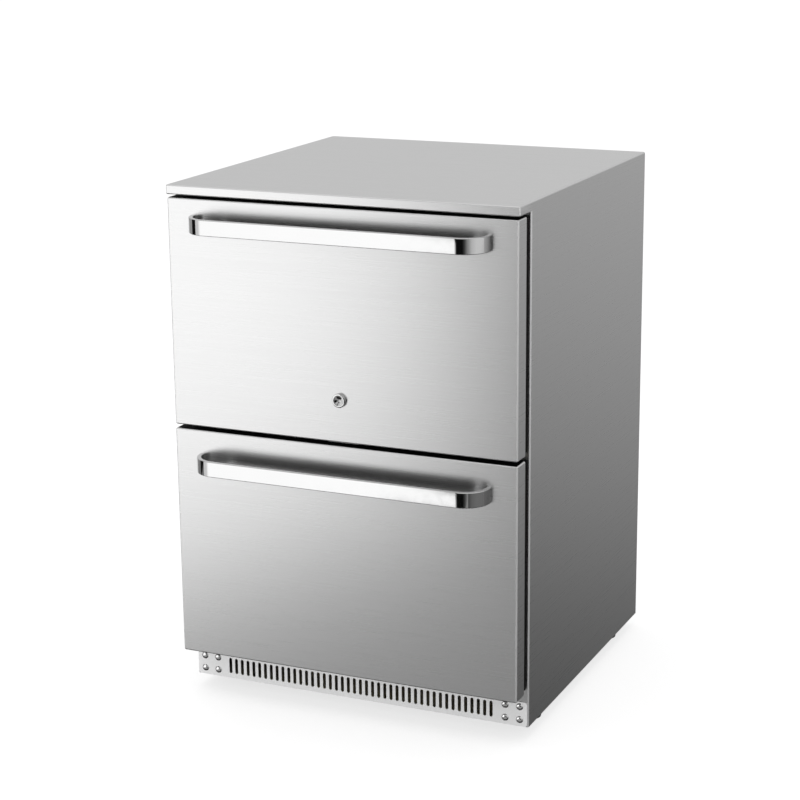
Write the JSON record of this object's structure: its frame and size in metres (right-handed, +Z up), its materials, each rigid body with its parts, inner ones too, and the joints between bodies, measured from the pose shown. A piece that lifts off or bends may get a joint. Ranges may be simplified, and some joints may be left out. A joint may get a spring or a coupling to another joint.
{
  "type": "under counter fridge",
  "caption": "Undercounter fridge in brushed stainless steel with sliding drawers, bail handles, a keyed lock, a slotted front grille and levelling feet.",
  "frame": {"origin": "on the floor under the middle of the bounding box, handles included", "axes": "+X to the right of someone facing the drawers, +Y to the back of the cabinet, +Z up"},
  "size_m": [0.6, 0.648, 0.868],
  "materials": {
    "brushed_steel": "satin",
    "silver_paint": "satin",
    "polished_steel": "polished",
    "galvanised_steel": "satin",
    "liner_steel": "satin",
    "inner_plastic": "satin",
    "foam": "matte",
    "gasket_rubber": "matte",
    "black_paint": "satin",
    "black_plastic": "satin",
    "copper": "satin",
    "aluminium": "satin",
    "lamp_lens": "satin",
    "zinc_steel": "satin"
  },
  "bodies": {
    "cabinet": {"base_tray": "galvanised_steel", "compressor": "black_paint", "compressor_terminal_box": "black_plastic", "condenser": "aluminium", "condenser_fan_motor": "black_paint", "condenser_fan_shroud": "black_paint", "control_panel": "black_plastic", "discharge_line": "copper", "drip_tray": "black_plastic", "evaporator": "aluminium", "evaporator_cover": "liner_steel", "evaporator_fan_motor": "black_plastic", "filter_drier": "copper", "foam_insulation": "foam", "front_grille": "silver_paint", "inner_liner": "liner_steel", "keeper_plate": "brushed_steel", "led_lamp": "lamp_lens", "lower_slide_outer_left": "zinc_steel", "lower_slide_outer_right": "zinc_steel", "mullion": "brushed_steel", "outer_wrap": "brushed_steel", "power_inlet": "black_plastic", "rear_cover": "galvanised_steel", "rear_panel": "galvanised_steel", "suction_line": "copper", "temperature_sensor": "black_plastic", "upper_slide_outer_left": "zinc_steel", "upper_slide_outer_right": "zinc_steel"},
    "upper_drawer": {"upper_drawer_skin": "brushed_steel", "upper_drawer_core": "foam", "upper_drawer_inner_panel": "inner_plastic", "upper_drawer_gasket": "gasket_rubber", "upper_handle": "polished_steel", "upper_bin": "liner_steel", "upper_slide_inner_left": "zinc_steel", "upper_slide_inner_right": "zinc_steel"},
    "upper_slide_middles": {"upper_slide_middle_left": "zinc_steel", "upper_slide_middle_right": "zinc_steel"},
    "lower_drawer": {"lower_drawer_skin": "brushed_steel", "lower_drawer_core": "foam", "lower_drawer_inner_panel": "inner_plastic", "lower_drawer_gasket": "gasket_rubber", "lower_handle": "polished_steel", "lower_bin": "liner_steel", "lower_slide_inner_left": "zinc_steel", "lower_slide_inner_right": "zinc_steel"},
    "lower_slide_middles": {"lower_slide_middle_left": "zinc_steel", "lower_slide_middle_right": "zinc_steel"},
    "lock_cylinder": {"lock_cylinder": "polished_steel"},
    "lock_bolt": {"lock_bolt": "zinc_steel"},
    "condenser_fan": {"condenser_fan": "black_plastic"},
    "evaporator_fan": {"evaporator_fan": "black_plastic"},
    "power_button": {"power_button": "lamp_lens"},
    "colder_button": {"colder_button": "lamp_lens"},
    "warmer_button": {"warmer_button": "lamp_lens"},
    "front_left_foot": {"front_left_foot": "black_plastic"},
    "front_right_foot": {"front_right_foot": "black_plastic"},
    "rear_left_foot": {"rear_left_foot": "black_plastic"},
    "rear_right_foot": {"rear_right_foot": "black_plastic"}
  },
  "joints": [
    {"name": "upper_drawer_slide", "type": "slide", "parent": "cabinet", "child": "upper_drawer", "axis": [0, -1, 0], "range_m": [0, 0.4]},
    {"name": "upper_middles_slide", "type": "slide", "parent": "cabinet", "child": "upper_slide_middles", "axis": [0, -1, 0], "range_m": [0, 0.2]},
    {"name": "lower_drawer_slide", "type": "slide", "parent": "cabinet", "child": "lower_drawer", "axis": [0, -1, 0], "range_m": [0, 0.4]},
    {"name": "lower_middles_slide", "type": "slide", "parent": "cabinet", "child": "lower_slide_middles", "axis": [0, -1, 0], "range_m": [0, 0.2]},
    {"name": "lock_turn", "type": "hinge", "parent": "upper_drawer", "child": "lock_cylinder", "pos_m": [0, -0.282, 0.544], "axis": [0, 1, 0], "range_deg": [0, 90]},
    {"name": "bolt_drop", "type": "slide", "parent": "upper_drawer", "child": "lock_bolt", "axis": [0, 0, -1], "range_m": [0, 0.012]},
    {"name": "condenser_fan_spin", "type": "hinge", "parent": "cabinet", "child": "condenser_fan", "pos_m": [-0.16, 0.17, 0.135], "axis": [0, 1, 0], "continuous": true},
    {"name": "evaporator_fan_spin", "type": "hinge", "parent": "cabinet", "child": "evaporator_fan", "pos_m": [0, 0.236, 0.66], "axis": [0, 1, 0], "continuous": true},
    {"name": "power_button_push", "type": "slide", "parent": "cabinet", "child": "power_button", "axis": [0, 1, 0], "range_m": [0, 0.0012], "stiffness_N_per_m": 400, "springref_m": -0.0005},
    {"name": "colder_button_push", "type": "slide", "parent": "cabinet", "child": "colder_button", "axis": [0, 1, 0], "range_m": [0, 0.0012], "stiffness_N_per_m": 400, "springref_m": -0.0005},
    {"name": "warmer_button_push", "type": "slide", "parent": "cabinet", "child": "warmer_button", "axis": [0, 1, 0], "range_m": [0, 0.0012], "stiffness_N_per_m": 400, "springref_m": -0.0005},
    {"name": "front_left_foot_screw", "type": "slide", "parent": "cabinet", "child": "front_left_foot", "axis": [0, 0, -1], "range_m": [0, 0.015]},
    {"name": "front_right_foot_screw", "type": "slide", "parent": "cabinet", "child": "front_right_foot", "axis": [0, 0, -1], "range_m": [0, 0.015]},
    {"name": "rear_left_foot_screw", "type": "slide", "parent": "cabinet", "child": "rear_left_foot", "axis": [0, 0, -1], "range_m": [0, 0.015]},
    {"name": "rear_right_foot_screw", "type": "slide", "parent": "cabinet", "child": "rear_right_foot", "axis": [0, 0, -1], "range_m": [0, 0.015]}
  ],
  "couplings": [
    {"joint": "upper_middles_slide", "follows": "upper_drawer_slide", "ratio": 0.5},
    {"joint": "lower_middles_slide", "follows": "lower_drawer_slide", "ratio": 0.5},
    {"joint": "lock_turn", "follows": "bolt_drop", "rad_per_m": 130.89}
  ]
}
